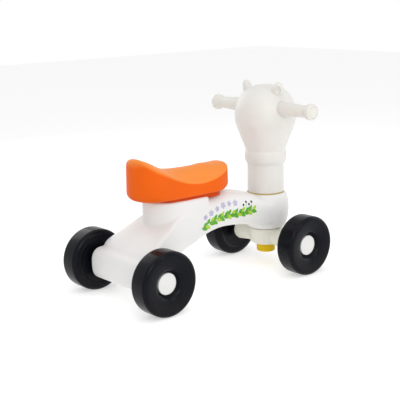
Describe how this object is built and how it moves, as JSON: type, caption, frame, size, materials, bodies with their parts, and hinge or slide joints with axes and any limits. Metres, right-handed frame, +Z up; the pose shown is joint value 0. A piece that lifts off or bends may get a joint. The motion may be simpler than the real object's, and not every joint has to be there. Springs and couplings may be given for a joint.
{
  "type": "ride-on sheep toy",
  "caption": "Foot-to-floor ride-on toy with a sheep's head that steers: moulded body, saddle, handles through the head, front yoke and rolling wheels on steel axles.",
  "frame": {"origin": "on the floor, under the middle of the overall length and width", "axes": "+X forward, towards the sheep's face; +Y to the toy's left; +Z up"},
  "size_m": [0.553, 0.316, 0.4302],
  "materials": {
    "body_white": "satin, blow-moulded",
    "head_white": "satin, blow-moulded",
    "handle_white": "satin",
    "yoke_white": "satin",
    "hub_cap_white": "satin",
    "seat_orange": "satin gloss",
    "wheel_black": "satin",
    "ring_yellow": "satin",
    "bush_nylon": "matt, natural nylon",
    "eye_black": "gloss",
    "steel": "zinc plated"
  },
  "bodies": {
    "chassis": {"body": "body_white", "seat": "seat_orange", "seat_rear_screw": "steel", "seat_front_screw": "steel", "rear_axle": "steel", "axle_bush_rear_left": "bush_nylon", "axle_bush_rear_right": "bush_nylon", "axle_nut_rear_left": "steel", "axle_nut_rear_right": "steel", "neck_ring": "ring_yellow", "lower_bush": "bush_nylon"},
    "steering": {"steering_column": "steel", "front_yoke": "yoke_white", "column_end_cap": "ring_yellow", "head": "head_white", "neck_screw": "steel", "eye_left": "eye_black", "eye_right": "eye_black", "handle_left": "handle_white", "handle_right": "handle_white", "handle_plug_left": "handle_white", "handle_plug_right": "handle_white", "handle_rod": "steel", "front_axle": "steel", "axle_bush_front_left": "bush_nylon", "axle_bush_front_right": "bush_nylon", "axle_nut_front_left": "steel", "axle_nut_front_right": "steel"},
    "rear_left_wheel": {"wheel_rear_left": "wheel_black", "hub_cap_rear_left": "hub_cap_white"},
    "rear_right_wheel": {"wheel_rear_right": "wheel_black", "hub_cap_rear_right": "hub_cap_white"},
    "front_left_wheel": {"wheel_front_left": "wheel_black", "hub_cap_front_left": "hub_cap_white"},
    "front_right_wheel": {"wheel_front_right": "wheel_black", "hub_cap_front_right": "hub_cap_white"}
  },
  "joints": [
    {"name": "steer", "type": "hinge", "parent": "chassis", "child": "steering", "pos_m": [0.195, 0, 0.0675], "axis": [0, 0, 1], "range_deg": [-35, 35]},
    {"name": "rear_left_spin", "type": "hinge", "parent": "chassis", "child": "rear_left_wheel", "pos_m": [-0.209, 0.1225, 0.0675], "axis": [0, 1, 0], "continuous": true},
    {"name": "rear_right_spin", "type": "hinge", "parent": "chassis", "child": "rear_right_wheel", "pos_m": [-0.209, -0.1225, 0.0675], "axis": [0, 1, 0], "continuous": true},
    {"name": "front_left_spin", "type": "hinge", "parent": "steering", "child": "front_left_wheel", "pos_m": [0.195, 0.1225, 0.0675], "axis": [0, 1, 0], "continuous": true},
    {"name": "front_right_spin", "type": "hinge", "parent": "steering", "child": "front_right_wheel", "pos_m": [0.195, -0.1225, 0.0675], "axis": [0, 1, 0], "continuous": true}
  ]
}
